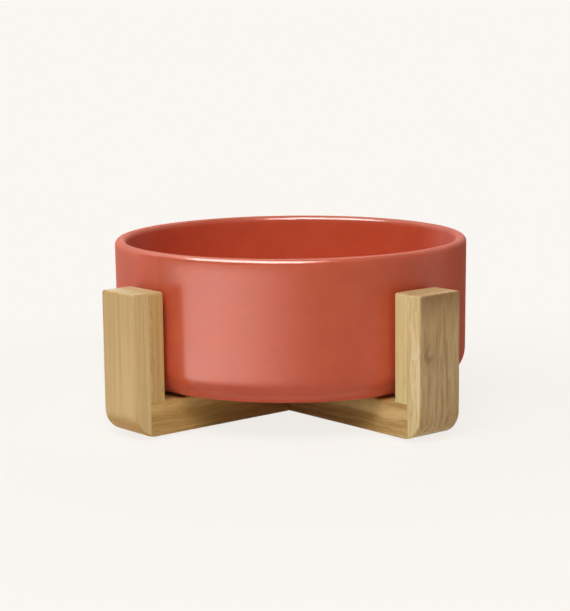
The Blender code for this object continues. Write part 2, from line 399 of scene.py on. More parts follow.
@dataclass(frozen=True)
class Bamboo:
    """Oiled bamboo: fine straight fibres, broader streaks, dark dashes and warm arrises.

    The tints multiply the colour of the faces that look outwards and upwards, where the
    cane's rind and its cut end lie; they also hold painted light and shade, a lighter or
    darker colour on these faces that stands in for how the lamps fall on them. The
    pattern's start and its step for each degree of the arm's turn keep any two pieces from
    looking alike.
    """

    name: str
    light: Colour
    dark: Colour
    rind_tint_and_painted_light: Colour = WHITE
    end_tint_and_painted_light: Colour = WHITE
    tint_facing: Pair = (0.35, 0.85)
    harshness: float = 0.55
    fibre_size: float = 0.0005
    fibre_length: float = 0.050
    fibre_layers: float = 3.0
    fibre_strength: float = 0.45
    streak_size: float = 0.0017
    streak_length: float = 0.120
    streak_layers: float = 2.0
    streak_strength: float = 0.50
    dash: Colour = (0.300, 0.170, 0.055)
    dash_size: float = 0.00045
    dash_length: float = 0.0060
    dash_layers: float = 1.0
    dash_range: Pair = (0.63, 0.71)
    dash_strength: float = 0.35
    honey: Colour = (0.520, 0.280, 0.060)
    honey_strength: float = 0.60
    honey_streaks: Pair = (0.30, 0.60)
    honey_least: float = 0.50
    arris_range: Pair = (0.99, 0.74)
    glue: Colour = (0.300, 0.180, 0.075)
    glue_reach: float = 0.00035
    glue_strength: float = 0.35
    overlap: Colour = (0.650, 0.470, 0.200)
    overlap_reach: float = 0.0
    overlap_size: float = 0.0090
    overlap_range: Pair = (0.42, 0.62)
    stain: Colour = (0.620, 0.520, 0.420)
    stain_strength: float = 0.0
    stain_depth: float = 0.0100
    stain_streaks: Pair = (0.1, 1.3)
    stain_fibres: Pair = (0.0, 0.4)
    stain_end: float = 1.4
    stain_facing: Pair = (0.2, 0.8)
    wander_size: float = 0.0070
    wander_length: float = 0.0200
    wander_reach: float = 0.0
    knot: Colour = (0.260, 0.135, 0.055)
    knot_strength: float = 0.0
    knot_place: tuple[float, float, float] = (0.094, -0.0071, 0.0352)
    knot_reach: tuple[float, float, float] = (0.0045, 0.0021, 0.0044)
    knot_range: Pair = (0.2, 1.6)
    ragged_size: float = 0.0022
    ragged_layers: float = 3.0
    ragged_height: float = 0.5
    ragged_reach: Pair = (-0.6, 0.9)
    halo: Colour = (0.860, 0.730, 0.470)
    halo_strength: float = 0.50
    halo_range: Pair = (1.4, 2.4)
    halo_facing: Pair = (0.2, 0.7)
    roughness: Pair = (0.60, 0.46)
    specular: float = 0.25
    relief: float = 0.00003
    pattern_start: float = 0.0
    pattern_step: float = 0.0

    def material(self, arm: Arm, grain: Grain, seam: float | None = None, top: float = 0.0) -> Material:
        """Make the bamboo for one piece.

        Args:
            arm: the arm that the piece is on, which gives the turn of its fibres.
            grain: the way that its fibres run.
            seam: how far out the glue line beside the piece is, if it has one.
            top: the height of the piece's cut end, for its stain.

        Returns:
            The material.
        """
        bench = MaterialBench(self.name)
        own_place = self.seen_from_arm(bench, "Object", arm)
        shift = self.pattern_start + arm.value * self.pattern_step
        moved = bench.vector("ADD", own_place, (shift, shift, shift))
        if self.wander_reach > 0.0:
            moved = self.wandered(bench, moved, grain)
        marks = (
            (self.fibre_size, self.fibre_length, self.fibre_layers),
            (self.streak_size, self.streak_length, self.streak_layers),
            (self.dash_size, self.dash_length, self.dash_layers),
        )
        fibre, streak, dash = (self.drawn_out(bench, moved, grain, *mark) for mark in marks)
        tone = NOISE_MIDDLE
        for mark, strength in ((fibre, self.fibre_strength), (streak, self.streak_strength)):
            swing = bench.math("SUBTRACT", mark, NOISE_MIDDLE)
            tone = bench.math("ADD", bench.math("MULTIPLY", swing, strength * 2), tone)
        colour = bench.blend(bench.fade(tone, 0.0, 1.0), self.dark, self.light)
        share = bench.fade(dash, *self.dash_range, 0.0, self.dash_strength)
        colour = bench.blend(share, colour, self.dash)
        place = bench.axes(own_place)
        if self.overlap_reach > 0.0 and seam is not None:
            share = self.overlap_share(bench, place["X"], moved, seam)
            colour = bench.blend(share, colour, self.overlap)
        normal = self.seen_from_arm(bench, "Normal", arm)
        facing = bench.axes(normal)
        # Painted light and shade: the outward and upward faces get their own tint, partly the rind and
        # cut end, partly painted for how the lamps fall on them.
        for axis, tint in (("X", self.rind_tint_and_painted_light), ("Z", self.end_tint_and_painted_light)):
            colour = bench.blend(bench.fade(facing[axis], *self.tint_facing), colour, tint, "MULTIPLY")
        if self.stain_strength > 0.0:
            share = self.stain_share(bench, place["Z"], streak, fibre, top)
            share = bench.math("MULTIPLY", share, bench.fade(facing["X"], *self.stain_facing))
            colour = bench.blend(share, colour, self.stain, "MULTIPLY")
        if self.knot_strength > 0.0:
            edge = self.knot_edge(bench, own_place)
            sideways = bench.fade(facing["X"], *self.halo_facing, self.halo_strength, 0.0)
            share = bench.math("MULTIPLY", bench.fade(edge, *self.halo_range, 1.0, 0.0), sideways)
            colour = bench.blend(share, colour, self.halo)
            share = bench.fade(edge, *self.knot_range, self.knot_strength, 0.0)
            colour = bench.blend(share, colour, self.knot)
        if seam is not None:
            away = bench.math("ABSOLUTE", bench.math("SUBTRACT", place["X"], seam))
            share = bench.fade(away, 0.0, self.glue_reach, self.glue_strength, 0.0)
            colour = bench.blend(share, colour, self.glue)
        streaky = bench.fade(streak, *self.honey_streaks, self.honey_least, 1.0)
        share = bench.math("MULTIPLY", self.arris(bench, normal), streaky)
        share = bench.math("MULTIPLY", share, self.honey_strength)
        bench.give("Base Color", bench.blend(share, colour, self.honey))
        bench.give("Roughness", bench.fade(fibre, *NOISE_RANGE, *self.roughness))
        bench.give("Specular IOR Level", self.specular)
        bench.stand_out(bench.math("MULTIPLY", bench.math("ADD", fibre, dash), self.relief))
        return bench.material

    def seen_from_arm(self, bench: MaterialBench, kind: str, arm: Arm) -> NodeSocket:
        """Turn the surface's own Object place or Normal back from its arm to the X axis."""
        feeds = {"Vector": bench.coordinates[kind], "Rotation": (0.0, 0.0, -arm.turn)}
        return bench.make("ShaderNodeMapping", feeds)

    def drawn_out(
        self, bench: MaterialBench, place: Feed, grain: Grain, size: float, length: float, layers: float
    ) -> NodeSocket:
        """Make noise that is drawn out along the fibres, from the size and length of a mark."""
        squeezed = bench.vector("MULTIPLY", place, grain.shortened(size / length))
        return bench.noise(squeezed, size, layers, self.harshness)

    def wandered(self, bench: MaterialBench, moved: Feed, grain: Grain) -> NodeSocket:
        """Let the fibres wander a little from side to side.

        Args:
            bench: the material's bench.
            moved: where the pattern is read.
            grain: the way that the fibres run.

        Returns:
            The place to read the fibres at.
        """
        scale = grain.shortened(self.wander_size / self.wander_length)
        clouds = bench.noise(bench.vector("MULTIPLY", moved, scale), self.wander_size)
        sway = clouds.node.outputs["Color"]
        return bench.vector("ADD", moved, bench.vector("MULTIPLY", sway, (self.wander_reach,) * 3))

    def overlap_share(self, bench: MaterialBench, out: Feed, moved: Feed, seam: float) -> NodeSocket:
        """Find where the paler ply beside this one wanders over the glue line.

        Args:
            bench: the material's bench.
            out: how far out along the arm the surface is.
            moved: the moved place, for the line's wander.
            seam: how far out the glue line is.

        Returns:
            An output that is 1 on the paler strip, else 0.
        """
        upward = bench.vector("MULTIPLY", moved, ONLY_HEIGHT)
        wander = bench.noise(upward, self.overlap_size, harshness=HARSHNESS)
        reach = bench.fade(wander, *self.overlap_range, 0.0, self.overlap_reach)
        return bench.math("LESS_THAN", bench.math("SUBTRACT", seam, out), reach)

    def stain_share(
        self, bench: MaterialBench, height: Feed, streak: Feed, fibre: Feed, top: float
    ) -> NodeSocket:
        """Find where the cut end has drawn in oil, which runs down along the fibres.

        Args:
            bench: the material's bench.
            height: how high the surface is.
            streak: the broad streaks.
            fibre: the fine fibres.
            top: the height of the cut end.

        Returns:
            An output from 0 to the stain's strength.
        """
        in_streaks = bench.fade(streak, *NOISE_RANGE, *self.stain_streaks)
        in_fibres = bench.fade(fibre, *NOISE_RANGE, *self.stain_fibres)
        reach = bench.math("MULTIPLY", bench.math("ADD", in_streaks, in_fibres), self.stain_depth)
        drop = bench.math("DIVIDE", bench.math("SUBTRACT", top, height), reach)
        return bench.fade(drop, 0.0, self.stain_end, self.stain_strength, 0.0)

    def knot_edge(self, bench: MaterialBench, own_place: Feed) -> NodeSocket:
        """Measure how far a place is from the ragged spot where the cane had its joint.

        Args:
            bench: the material's bench.
            own_place: the place seen from the piece's own arm.

        Returns:
            An output that is about 1 on the spot's edge.
        """
        away = bench.vector("ADD", own_place, [-middle for middle in self.knot_place])
        scaled = bench.vector("MULTIPLY", away, [1.0 / reach for reach in self.knot_reach])
        tall = bench.vector("MULTIPLY", own_place, Grain.upright.shortened(self.ragged_height))
        clouds = bench.noise(tall, self.ragged_size, self.ragged_layers, HARSHNESS)
        ragged = bench.fade(clouds, *NOISE_RANGE, *self.ragged_reach)
        return bench.math("ADD", bench.length(scaled), ragged)

    def arris(self, bench: MaterialBench, normal: Feed) -> NodeSocket:
        """Give 1 in the middle of a rounded edge and 0 on a flat face, from the turned normal."""
        squares = (bench.math("MULTIPLY", part, part) for part in bench.axes(normal))
        return bench.fade(bench.largest(squares), *self.arris_range)


UPPER_BAR_WOOD = Bamboo(
    "bar_bamboo_oiled",
    light=(0.730, 0.495, 0.185),
    dark=(0.420, 0.242, 0.062),
    streak_size=0.0042,
    streak_strength=1.00,
    honey_strength=0.35,
    wander_reach=0.0035,
    specular=0.18,
    pattern_start=4.07,
)
# The lower bar is a lighter, yellower copy of the bar wood: painted light for its end by the front right
# post. Its longer streaks and its pattern start are its own.
LOWER_BAR_WOOD_PAINTED_LIGHTER = replace(
    UPPER_BAR_WOOD, light=(0.730, 0.530, 0.220), streak_length=0.100, pattern_start=20.31
)
OUTER_WOOD = Bamboo(
    "outer_ply_bamboo_oiled",
    light=(0.760, 0.580, 0.270),
    dark=(0.590, 0.420, 0.170),
    rind_tint_and_painted_light=(0.835, 0.745, 0.645),
    end_tint_and_painted_light=(0.890, 0.940, 1.000),
    fibre_strength=0.75,
    streak_strength=0.65,
    dash_strength=0.12,
    honey_strength=1.00,
    pattern_start=1.0,
    pattern_step=1 / 11,
)
INNER_WOOD = Bamboo(
    "inner_ply_bamboo_oiled",
    light=(0.655, 0.455, 0.175),
    dark=(0.500, 0.320, 0.105),
    end_tint_and_painted_light=(0.960, 1.060, 1.250),
    fibre_strength=0.65,
    overlap_reach=0.0012,
    pattern_start=2.0,
    pattern_step=1 / 13,
)
# The front right outer ply has a real knot and oil stain. Its lighter wood is painted light for its lit
# side, and its darker outer face and top are painted shade.
KNOTTED_OUTER_WOOD_PAINTED_LIGHT = Bamboo(
    "outer_ply_bamboo_knotted",
    light=(0.840, 0.710, 0.380),
    dark=(0.595, 0.430, 0.165),
    rind_tint_and_painted_light=(0.755, 0.620, 0.590),
    end_tint_and_painted_light=(0.760, 0.630, 0.530),
    streak_size=0.0021,
    streak_length=0.0450,
    streak_strength=1.10,
    fibre_strength=0.70,
    fibre_length=0.0300,
    dash_strength=0.20,
    honey_strength=0.10,
    stain_strength=0.95,
    wander_reach=0.0038,
    knot_strength=0.60,
    pattern_start=18.89,
)
# A lighter copy of the inner ply for the front right post: painted light for its side that faces the
# lamps, with a darker top as painted shade.
INNER_WOOD_PAINTED_LIGHTER = Bamboo(
    "inner_ply_bamboo_pale",
    light=(0.815, 0.683, 0.325),
    dark=(0.678, 0.532, 0.224),
    end_tint_and_painted_light=(0.730, 0.600, 0.500),
    honey_strength=0.20,
    pattern_start=2.0,
)
DOWEL_WOOD = Bamboo(
    "dowel_beech_plain",
    light=(0.640, 0.470, 0.290),
    dark=(0.500, 0.340, 0.190),
    honey_strength=0.0,
    pattern_start=3.0,
    pattern_step=1 / 17,
)


class ShapeBench(NodeBench):
    """A new Geometry Nodes tree that takes and gives a shape."""

    def __init__(self, name: str, sockets: dict[str, str]) -> None:
        """Start the tree.

        Args:
            name: its name.
            sockets: its other inputs, each with the last word of its type.
        """
        super().__init__(bpy.data.node_groups.new(name, "GeometryNodeTree"))
        new_socket = self.tree.interface.new_socket
        for socket, kind in {"Geometry": "Geometry", **sockets}.items():
            new_socket(socket, in_out="INPUT", socket_type=f"NodeSocket{kind}")
        new_socket("Geometry", in_out="OUTPUT", socket_type="NodeSocketGeometry")
        self.given = self.add("NodeGroupInput").outputs
        self.result = self.add("NodeGroupOutput").inputs[0]

    def turned_profile(self) -> NodeSocket:
        """Turn the given profile into a closed shape."""
        feeds = {name: self.given[name] for name in ("Geometry", *TURNING_SOCKETS)}
        return self.make("GeometryNodeGroup", feeds, node_tree=turned_shape_tree())

    def finished(self, shape: Feed, finish: str, where: Feed = True) -> NodeSocket:
        """Give a shape the material of the input that is named finish."""
        feeds = {"Geometry": shape, "Selection": where, "Material": self.given[finish]}
        return self.make("GeometryNodeSetMaterial", feeds)


def turned_shape_tree() -> NodeTree:
    """Make the tree that turns a drawn profile about the Z axis into a closed shape.

    Returns:
        The tree, with inputs for the steps of a turn, the wobble and the weld distance.
    """
    bench = ShapeBench("turned_shape", TURNING_SOCKETS)
    given = bench.given
    count = bench.add("GeometryNodeAttributeDomainSize", {0: given["Geometry"]}).outputs["Point Count"]
    rows = bench.math("ADD", given["Turned Steps"], 1)
    size = {"Size X": 1.0, "Size Y": 1.0, "Vertices X": count, "Vertices Y": rows}
    sheet = bench.make("GeometryNodeMeshGrid", size)
    flat = bench.axes(bench.make("GeometryNodeInputPosition"))
    last = bench.math("SUBTRACT", count, 1)
    column = bench.math("MULTIPLY", bench.math("ADD", flat["X"], GRID_REACH), last)
    angle = bench.math("MULTIPLY", bench.math("ADD", flat["Y"], GRID_REACH), math.tau)
    feeds = {
        "Geometry": given["Geometry"],
        "Value": bench.make("GeometryNodeInputPosition"),
        "Index": bench.math("ROUND", column),
    }
    sample = bench.make("GeometryNodeSampleIndex", feeds, data_type="FLOAT_VECTOR", domain="POINT")
    drawn = bench.axes(sample)
    across = bench.math("MULTIPLY", drawn["X"], bench.math("COSINE", angle))
    along = bench.math("MULTIPLY", drawn["X"], bench.math("SINE", angle))
    turned = bench.make("ShaderNodeCombineXYZ", {0: across, 1: along, 2: drawn["Z"]})
    scale = bench.math("DIVIDE", 1.0, given["Wobble Size"])
    clouds = bench.make("ShaderNodeTexNoise", {"Vector": turned, "Scale": scale, "Detail": 1.0})
    waver = bench.math("SUBTRACT", clouds, NOISE_MIDDLE)
    factor = bench.math("ADD", bench.math("MULTIPLY", waver, given["Wobble"]), 1.0)
    widened = bench.make("ShaderNodeCombineXYZ", {0: factor, 1: factor, 2: 1.0})
    feeds = {"Geometry": sheet, "Position": bench.vector("MULTIPLY", turned, widened)}
    moved = bench.make("GeometryNodeSetPosition", feeds)
    weld = {"Geometry": moved, "Distance": given["Weld Distance"]}
    bench.feed(bench.result, bench.make("GeometryNodeMergeByDistance", weld))
    return bench.tree


def glazed_bowl_tree() -> NodeTree:
    """Make the tree that turns the bowl and glazes it down to its foot.

    Returns:
        The tree.
    """
    sockets = {"Foot Height": "Float", "Glaze": "Material", "Bare Clay": "Material"}
    bench = ShapeBench("glazed_bowl", {**TURNING_SOCKETS, **sockets})
    smooth = bench.make("GeometryNodeSetShadeSmooth", {0: bench.turned_profile()})
    real = bench.make("GeometryNodeRealizeInstances", {0: smooth})
    height = bench.axes(bench.make("GeometryNodeInputPosition"))["Z"]
    feeds = {0: height, 1: bench.given["Foot Height"]}
    foot = bench.make("FunctionNodeCompare", feeds, data_type="FLOAT", operation="LESS_THAN")
    bench.feed(bench.result, bench.finished(bench.finished(real, "Glaze"), "Bare Clay", foot))
    return bench.tree


def pad_ring_tree() -> NodeTree:
    """Make the tree that turns one pad and sets a copy of it under every arm.

    Returns:
        The tree.
    """
    sockets = {"Arms": "Int", "Pad Distance": "Float", "Rubber": "Material"}
    bench = ShapeBench("pads_under_arms", {**TURNING_SOCKETS, **sockets})
    circle = {"Vertices": bench.given["Arms"], "Radius": bench.given["Pad Distance"]}
    ring = bench.make("GeometryNodeMeshCircle", circle)
    pad = bench.turned_profile()
    copies = bench.make("GeometryNodeInstanceOnPoints", {"Points": ring, "Instance": pad})
    real = bench.make("GeometryNodeRealizeInstances", {0: copies})
    bench.feed(bench.result, bench.finished(real, "Rubber"))
    return bench.tree


def grow(worker: Object, tree: NodeTree, inputs: dict[str, Any]) -> None:
    """Run a Geometry Nodes tree on an object, and keep the closed result as its plain mesh.

    Args:
        worker: the object, which holds the shape that the tree starts from.
        tree: the tree.
        inputs: values for the tree's named inputs.
    """
    modifier = worker.modifiers.new(tree.name, "NODES")
    modifier.node_group = tree
    for item in tree.interface.items_tree:
        if item.item_type == "SOCKET" and item.in_out == "INPUT" and item.name in inputs:
            modifier[item.identifier] = inputs[item.name]
    flatten(worker)
    face_outwards(worker)


def flatten(worker: Object) -> None:
    """Turn an object with its modifiers into a plain mesh.

    Args:
        worker: the object.
    """
    graph = bpy.context.evaluated_depsgraph_get()
    settled = worker.evaluated_get(graph)
    mesh = bpy.data.meshes.new_from_object(settled, preserve_all_data_layers=True, depsgraph=graph)
    mesh.name = worker.name
    worker.modifiers.clear()
    worker.data = mesh


def face_outwards(piece: Object) -> None:
    """Make every face of a closed piece point outwards.

    Args:
        piece: the piece.
    """
    shape = bmesh.new()
    shape.from_mesh(piece.data)
    bmesh.ops.recalc_face_normals(shape, faces=shape.faces)
    shape.to_mesh(piece.data)
    shape.free()


def add_object(name: str, mesh: Mesh) -> Object:
    """Put a mesh into the scene.

    Args:
        name: the object's name.
        mesh: the mesh, with its place in its own points.

    Returns:
        The object.
    """
    made = bpy.data.objects.new(name, mesh)
    bpy.context.scene.collection.objects.link(made)
    return made


def add_shape(name: str, shape: BMesh) -> Object:
    """Put a shape into the scene and let go of it.

    Args:
        name: the object's name.
        shape: the shape.

    Returns:
        The object.
    """
    mesh = bpy.data.meshes.new(name)
    shape.to_mesh(mesh)
    shape.free()
    return add_object(name, mesh)


def smooth_between_edges(piece: Object) -> None:
    """Smooth a piece, apart from its sharp edges.

    Args:
        piece: the piece.
    """
    piece.data.shade_smooth()
    piece.data.set_sharp_from_angle(angle=SHARP_ANGLE)


def arc(centre: Point, radii: Pair, ends: Pair, facet: float) -> list[Point]:
    """Draw an arc in the XZ plane.

    Args:
        centre: its centre.
        radii: its radius along X and that along Z.
        ends: its first and last angle in degrees.
        facet: the largest turn between two points, in degrees.

    Returns:
        Its points, with both ends.
    """
    start, end = ends
    steps = math.ceil(abs(end - start) / facet)
    angles = [math.radians(start + (end - start) * step / steps) for step in range(steps + 1)]
    return [(centre[0] + radii[0] * math.cos(a), centre[1] + radii[1] * math.sin(a)) for a in angles]


def profile_object(name: str, corners: list[Point], spacing: float, bottom: float) -> Object:
    """Put an open line in the XZ plane into the scene, for turning.

    Args:
        name: the object's name.
        corners: the profile's points, from one end on the axis to the other.
        spacing: the largest distance between two points.
        bottom: the height that the profile is raised by.

    Returns:
        The object.
    """
    points = [corners[0]]
    for (x, z), last in zip(corners, corners[1:]):
        steps = math.ceil(math.dist((x, z), last) / spacing)
        shares = [step / steps for step in range(1, steps)]
        points += [(x + (last[0] - x) * share, z + (last[1] - z) * share) for share in shares]
        points.append(last)
    mesh = bpy.data.meshes.new(name)
    edges = [(here, here + 1) for here in range(len(points) - 1)]
    mesh.from_pydata([(x, 0.0, z + bottom) for x, z in points], edges, [])
    return add_object(name, mesh)


@dataclass
class GlazedBowl:
    """The turned bowl, with its lip, cove, rounded base and foot ring."""

    wall: float = 0.0048
    floor: float = 0.0050
    taper: float = 0.00035
    cove_radius: float = 0.0130
    base_rounding: Pair = (0.0103, 0.0118)
    foot_width: float = 0.0060
    foot_recess: float = 0.0015
    foot_softness: float = 0.0004
    bare_height: float = 0.00025
    turned_steps: int = 216
    facet: float = 6.0
    lip_facet: float = 12.0
    foot_facet: float = 24.0
    spacing: float = 0.004
    wobble: float = 0.0012
    wobble_size: float = 0.050

    def profile(self, radius: float, height: float) -> list[Point]:
        """Draw half of the section: the floor, up the inside, over the lip, down and under.

        Args:
            radius: the bowl's largest radius.
            height: the bowl's height.

        Returns:
            The section's points, from the axis to the axis.
        """
        outer = radius - self.taper
        floor = self.foot_recess + self.floor
        cove = self.cove_radius
        lip = self.wall / 2
        foot_outer = outer - self.base_rounding[0]
        foot_inner = foot_outer - self.foot_width
        soft = self.foot_softness
        return [
            (0.0, floor),
            *arc((outer - self.wall - cove, floor + cove), (cove, cove), (-90, 0), self.facet),
            *arc((radius - lip, height - lip), (lip, lip), (180, 0), self.lip_facet),
            *arc((foot_outer, self.base_rounding[1]), self.base_rounding, (0, -90), self.facet),
            *arc((foot_inner + soft, soft), (soft, soft), (-90, -180), self.foot_facet),
            (foot_inner, self.foot_recess - soft),
            (foot_inner - soft, self.foot_recess),
            (0.0, self.foot_recess),
        ]

    def build(self, glaze: CoralGlaze, clay: GrainyFinish) -> Object:
        """Turn the bowl in the place of its solid.

        Args:
            glaze: the finish inside and outside.
            clay: the finish of the foot's standing ring.

        Returns:
            The bowl.
        """
        low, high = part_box("bowl")
        corners = self.profile(high[0], high[2] - low[2])
        bowl = profile_object("bowl_turned", corners, self.spacing, low[2])
        inputs = {
            "Turned Steps": self.turned_steps,
            "Wobble": self.wobble,
            "Wobble Size": self.wobble_size,
            "Weld Distance": SAME_PLACE,
            "Foot Height": low[2] + self.bare_height,
            "Glaze": glaze.material(high[2]),
            "Bare Clay": clay.material(),
        }
        grow(bowl, glazed_bowl_tree(), inputs)
        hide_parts("bowl")
        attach(bowl, "bowl")
        return bowl


@dataclass
class StandSizes:
    """The sizes that the pieces of the stand share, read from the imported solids."""

    half_width: float
    bottom: float
    bar_top: float
    post_top: float
    post_inner: float
    post_outer: float
    ply_seam: float
    bar_seam: float

    @classmethod
    def from_frame(cls) -> "StandSizes":
        """Read the sizes.

        Returns:
            The sizes, with each seam in the middle of the gap between two solids.
        """
        bar_low, bar_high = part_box("bar_lower")
        outer_low, outer_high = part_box("outer_ply_front_right")
        inner_low, inner_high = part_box("inner_ply_front_right")
        return cls(
            half_width=bar_high[1],
            bottom=bar_low[2],
            bar_top=bar_high[2],
            post_top=outer_high[2],
            post_inner=inner_high[0] - (outer_high[0] - outer_low[0]),
            post_outer=outer_high[0],
            ply_seam=(inner_high[0] + outer_low[0]) / 2,
            bar_seam=(bar_high[2] + inner_low[2]) / 2,
        )


@dataclass
class BambooStand:
    """The crossed bars with a post of two plies on every end, and the pads under them."""

    sizes: StandSizes
    outer_corner: float = 0.0105
    outer_facet: float = 6.0
    inner_corner: float = 0.0014
    inner_facet: float = 12.0
    edge_ease: float = 0.0010
    ease_steps: int = 4
    ease_roundness: float = 0.5
    seam: float = 0.00003
    dowel_play: float = 0.0002
    dowel_sides: int = 32
    pad_play: float = 0.0003
    pad_ease: float = 0.0003
    pad_facet: float = 30.0
    pad_steps: int = 32
    spare: float = 0.0020

    def eased_frame(self) -> BMesh:
        """Make one bar with both its posts, rounded as a whole, before it is sliced.

        Returns:
            The shape, along X.
        """
        sizes = self.sizes
        outer = (sizes.post_outer - self.outer_corner, sizes.bottom + self.outer_corner)
        inner = (sizes.post_inner - self.inner_corner, sizes.bar_top + self.inner_corner)
        right = [
            *arc(outer, (self.outer_corner, self.outer_corner), (-90, 0), self.outer_facet),
            (sizes.post_outer, sizes.post_top),
            (sizes.post_inner, sizes.post_top),
            *arc(inner, (self.inner_corner, self.inner_corner), (0, -90), self.inner_facet),
        ]
        outline = right + [(-x, z) for x, z in reversed(right)]
        shape = bmesh.new()
        side = shape.faces.new([shape.verts.new((x, -sizes.half_width, z)) for x, z in outline])
        drawn = bmesh.ops.extrude_face_region(shape, geom=[side])
        far_side = [item for item in drawn["geom"] if isinstance(item, BMVert)]
        bmesh.ops.translate(shape, verts=far_side, vec=(0.0, 2 * sizes.half_width, 0.0))
        bmesh.ops.recalc_face_normals(shape, faces=shape.faces)
        bmesh.ops.bevel(
            shape,
            geom=[edge for edge in shape.edges if edge.calc_face_angle() > SHARP_ANGLE],
            offset=self.edge_ease,
            segments=self.ease_steps,
            profile=self.ease_roundness,
            affect="EDGES",
            clamp_overlap=True,
        )
        return shape

    def slice_off(self, shape: BMesh, side: Side, place: float) -> None:
        """Cut away one side of a shape, and close the cut.

        Args:
            shape: the shape to cut.
            side: the side that is cut away.
            place: where the cut is, along the side's axis.
        """
        bmesh.ops.bisect_plane(
            shape,
            geom=[*shape.verts, *shape.edges, *shape.faces],
            dist=SAME_PLACE,
            plane_co=[abs(part) * place for part in side.value],
            plane_no=side.value,
            clear_outer=True,
        )
        bmesh.ops.holes_fill(shape, edges=[edge for edge in shape.edges if edge.is_boundary])

    def settle(self, name: str, shape: BMesh, arm: Arm) -> Object:
        """Turn a shape to its arm and put it into the scene.

        Args:
            name: the piece's name.
            shape: the shape, along X.
            arm: the arm that it is on.

        Returns:
            The piece.
        """
        bmesh.ops.transform(shape, matrix=Matrix.Rotation(arm.turn, 4, "Z"), verts=shape.verts)
        bmesh.ops.recalc_face_normals(shape, faces=shape.faces)
        return add_shape(name, shape)

    def hollow(self, piece: Object, cutters: list[Object]) -> None:
        """Cut shapes out of a piece and take them away.

        Args:
            piece: the piece.
            cutters: the shapes.
        """
        for cutter in cutters:
            modifier = piece.modifiers.new(cutter.name, "BOOLEAN")
            modifier.operation = "DIFFERENCE"
            modifier.solver = "EXACT"
            modifier.object = cutter
        flatten(piece)
        for cutter in cutters:
            bpy.data.objects.remove(cutter, do_unlink=True)

    def drill(self, node: str, play: float, from_below: float = 0.0) -> Object:
        """Make a cutter that leaves room round a round solid.

        Args:
            node: the solid.
            play: the room on every side.
            from_below: how far the cutter reaches below the solid.

        Returns:
            The cutter.
        """
        low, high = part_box(node)
        radius = (high[0] - low[0]) / 2 + play
        bottom = low[2] - play - from_below
        top = high[2] + play
        centre = ((low[0] + high[0]) / 2, (low[1] + high[1]) / 2, (bottom + top) / 2)
        shape = bmesh.new()
        bmesh.ops.create_cone(
            shape,
            cap_ends=True,
            segments=self.dowel_sides,
            radius1=radius,
            radius2=radius,
            depth=top - bottom,
            matrix=Matrix.Translation(centre),
        )
        return add_shape(f"{node}_room", shape)

    def finish_piece(self, piece: Object, material: Material, node: str) -> Object:
        """Smooth a bamboo piece, give it its finish and set it in the place of its solid.

        Args:
            piece: the piece.
            material: its finish.
            node: the solid that it replaces.

        Returns:
            The piece.
        """
        smooth_between_edges(piece)
        piece.modifiers.new("flat_faces", "WEIGHTED_NORMAL").keep_sharp = True
        flatten(piece)
        piece.data.materials.clear()
        piece.data.materials.append(material)
        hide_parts(node)
        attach(piece, "stand")
        return piece

    def build_bar(self, node: str, arms: tuple[Arm, Arm], notch: Pair, wood: Bamboo) -> Object:
        """Make a bar of the cross.

        Args:
            node: the solid that it replaces.
            arms: the two arms that it carries.
            notch: the lowest and highest point of its half of the lap.
            wood: its finish.

        Returns:
            The bar.
        """
        shape = self.eased_frame()
        end = self.sizes.ply_seam - self.seam / 2
        self.slice_off(shape, Side.above, self.sizes.bar_seam - self.seam / 2)
        self.slice_off(shape, Side.beyond, end)
        self.slice_off(shape, Side.before, -end)
        bar = self.settle(f"{node}_bamboo", shape, arms[0])
        width = 2 * self.sizes.half_width
        block = bmesh.new()
        size = Matrix.Diagonal((width + self.seam, width + self.spare, notch[1] - notch[0], 1.0))
        place = Matrix.Translation((0.0, 0.0, sum(notch) / 2))
        bmesh.ops.create_cube(block, size=1.0, matrix=place @ size)
        cutters = [self.settle(f"{node}_lap", block, arms[0])]
        for arm in arms:
            cutters.append(self.drill(f"dowel_{arm.name}", self.dowel_play))
            cutters.append(self.drill(f"pad_{arm.name}", self.pad_play, self.spare))
        self.hollow(bar, cutters)
        material = wood.material(arms[0], Grain.along_bar)
        return self.finish_piece(bar, material, node)

    def build_ply(self, ply: Ply, arm: Arm, wood: Bamboo) -> Object:
        """Make one ply of a post.

        Args:
            ply: the outer or the inner one.
            arm: the post's arm.
            wood: its finish.

        Returns:
            The ply.
        """
        node = f"{ply.value}_{arm.name}"
        sizes = self.sizes
        half_seam = self.seam / 2
        shape = self.eased_frame()
        if ply is Ply.outer:
            self.slice_off(shape, Side.before, sizes.ply_seam + half_seam)
        else:
            self.slice_off(shape, Side.below, sizes.bar_seam + half_seam)
            self.slice_off(shape, Side.before, 0.0)
            self.slice_off(shape, Side.beyond, sizes.ply_seam - half_seam)
        piece = self.settle(f"{node}_bamboo", shape, arm)
        if ply is Ply.inner:
            self.hollow(piece, [self.drill(f"dowel_{arm.name}", self.dowel_play)])
        material = wood.material(arm, Grain.upright, sizes.ply_seam, sizes.post_top)
        return self.finish_piece(piece, material, node)

